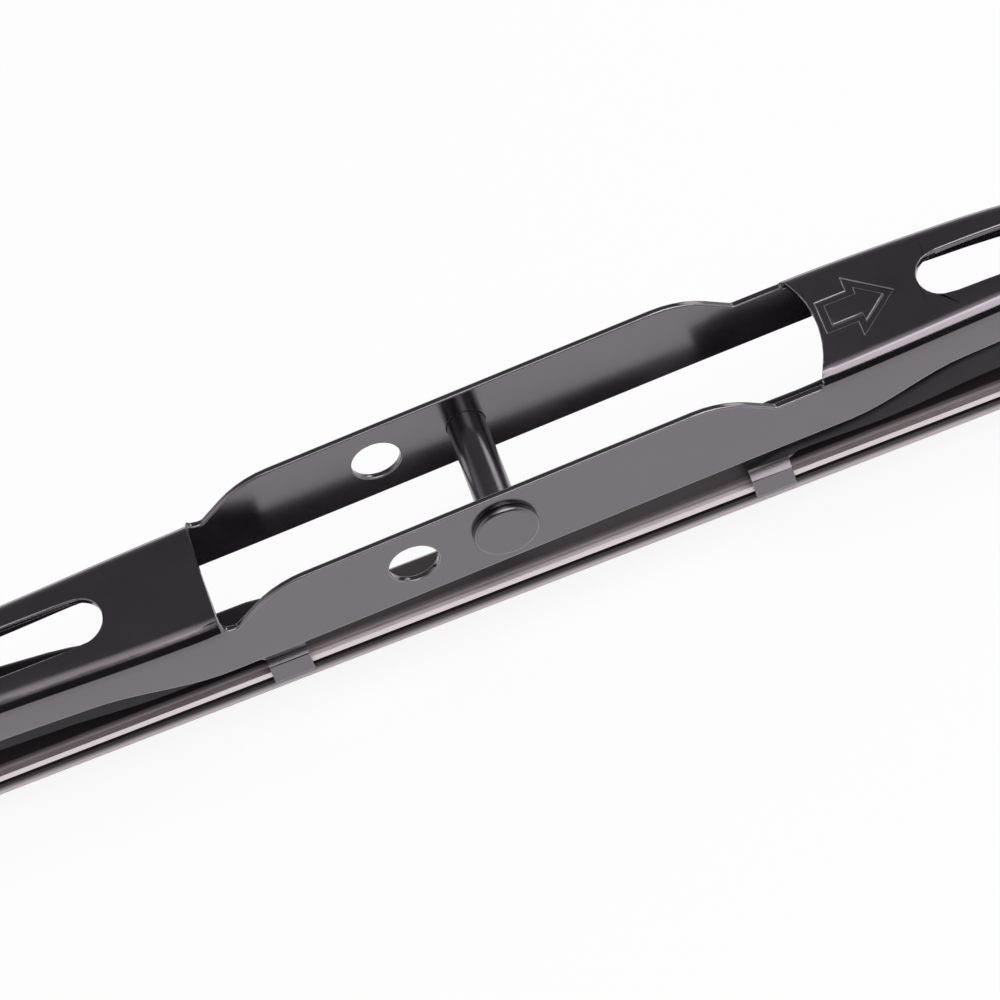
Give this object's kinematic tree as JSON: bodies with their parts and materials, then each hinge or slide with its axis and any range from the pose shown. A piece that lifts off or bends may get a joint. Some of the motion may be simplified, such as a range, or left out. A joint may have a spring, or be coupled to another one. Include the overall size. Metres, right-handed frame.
{
  "type": "wiper blade",
  "caption": "Car wiper blade: a pressed steel bridge with a hook window and cross pin rocks on yokes whose claws hold a railed rubber squeegee.",
  "frame": {"origin": "middle of the cross pin that the wiper arm's hook grips", "axes": "+X along the blade towards its outer end, +Y along the cross pin, +Z away from the glass"},
  "size_m": [0.45, 0.0202, 0.032],
  "materials": {
    "frame_paint": "semi-gloss black powder coat on pressed steel",
    "rivet_paint": "semi-gloss black paint on domed rivets",
    "pin_paint": "semi-gloss black paint on a turned and riveted pin",
    "rail_steel": "rolled stainless spring strip",
    "liner_plastic": "moulded acetal",
    "wiper_rubber": "matte graphite-coated natural rubber"
  },
  "bodies": {
    "bridge": {"main_bridge": "frame_paint", "cross_pin": "pin_paint", "yoke_rivet_left": "rivet_paint", "yoke_rivet_right": "rivet_paint", "yoke_liner_left": "liner_plastic", "yoke_liner_right": "liner_plastic", "rail_front": "rail_steel", "rail_rear": "rail_steel", "wiping_rubber": "wiper_rubber"},
    "left_yoke": {"yoke_left": "frame_paint", "end_rivet_left": "rivet_paint", "end_liner_left": "liner_plastic"},
    "right_yoke": {"yoke_right": "frame_paint", "end_rivet_right": "rivet_paint", "end_liner_right": "liner_plastic"},
    "left_end_yoke": {"end_yoke_left": "frame_paint"},
    "right_end_yoke": {"end_yoke_right": "frame_paint"}
  },
  "joints": [
    {"name": "left_yoke_rock", "type": "hinge", "parent": "bridge", "child": "left_yoke", "pos_m": [-0.10875, 0, -0.006], "axis": [0, 1, 0], "range_deg": [-4, 4], "stiffness_Nm_per_rad": 0.6, "deforming": ["wiping_rubber", "rail_front", "rail_rear"]},
    {"name": "right_yoke_rock", "type": "hinge", "parent": "bridge", "child": "right_yoke", "pos_m": [0.11095, 0, -0.006], "axis": [0, -1, 0], "range_deg": [-4, 4], "stiffness_Nm_per_rad": 0.6, "deforming": ["wiping_rubber", "rail_front", "rail_rear"]},
    {"name": "left_end_yoke_rock", "type": "hinge", "parent": "left_yoke", "child": "left_end_yoke", "pos_m": [-0.1476, 0, -0.0096], "axis": [0, 1, 0], "range_deg": [-4, 4], "stiffness_Nm_per_rad": 0.3, "deforming": ["wiping_rubber", "rail_front", "rail_rear"]},
    {"name": "right_end_yoke_rock", "type": "hinge", "parent": "right_yoke", "child": "right_end_yoke", "pos_m": [0.1498, 0, -0.0096], "axis": [0, -1, 0], "range_deg": [-4, 4], "stiffness_Nm_per_rad": 0.3, "deforming": ["wiping_rubber", "rail_front", "rail_rear"]}
  ]
}
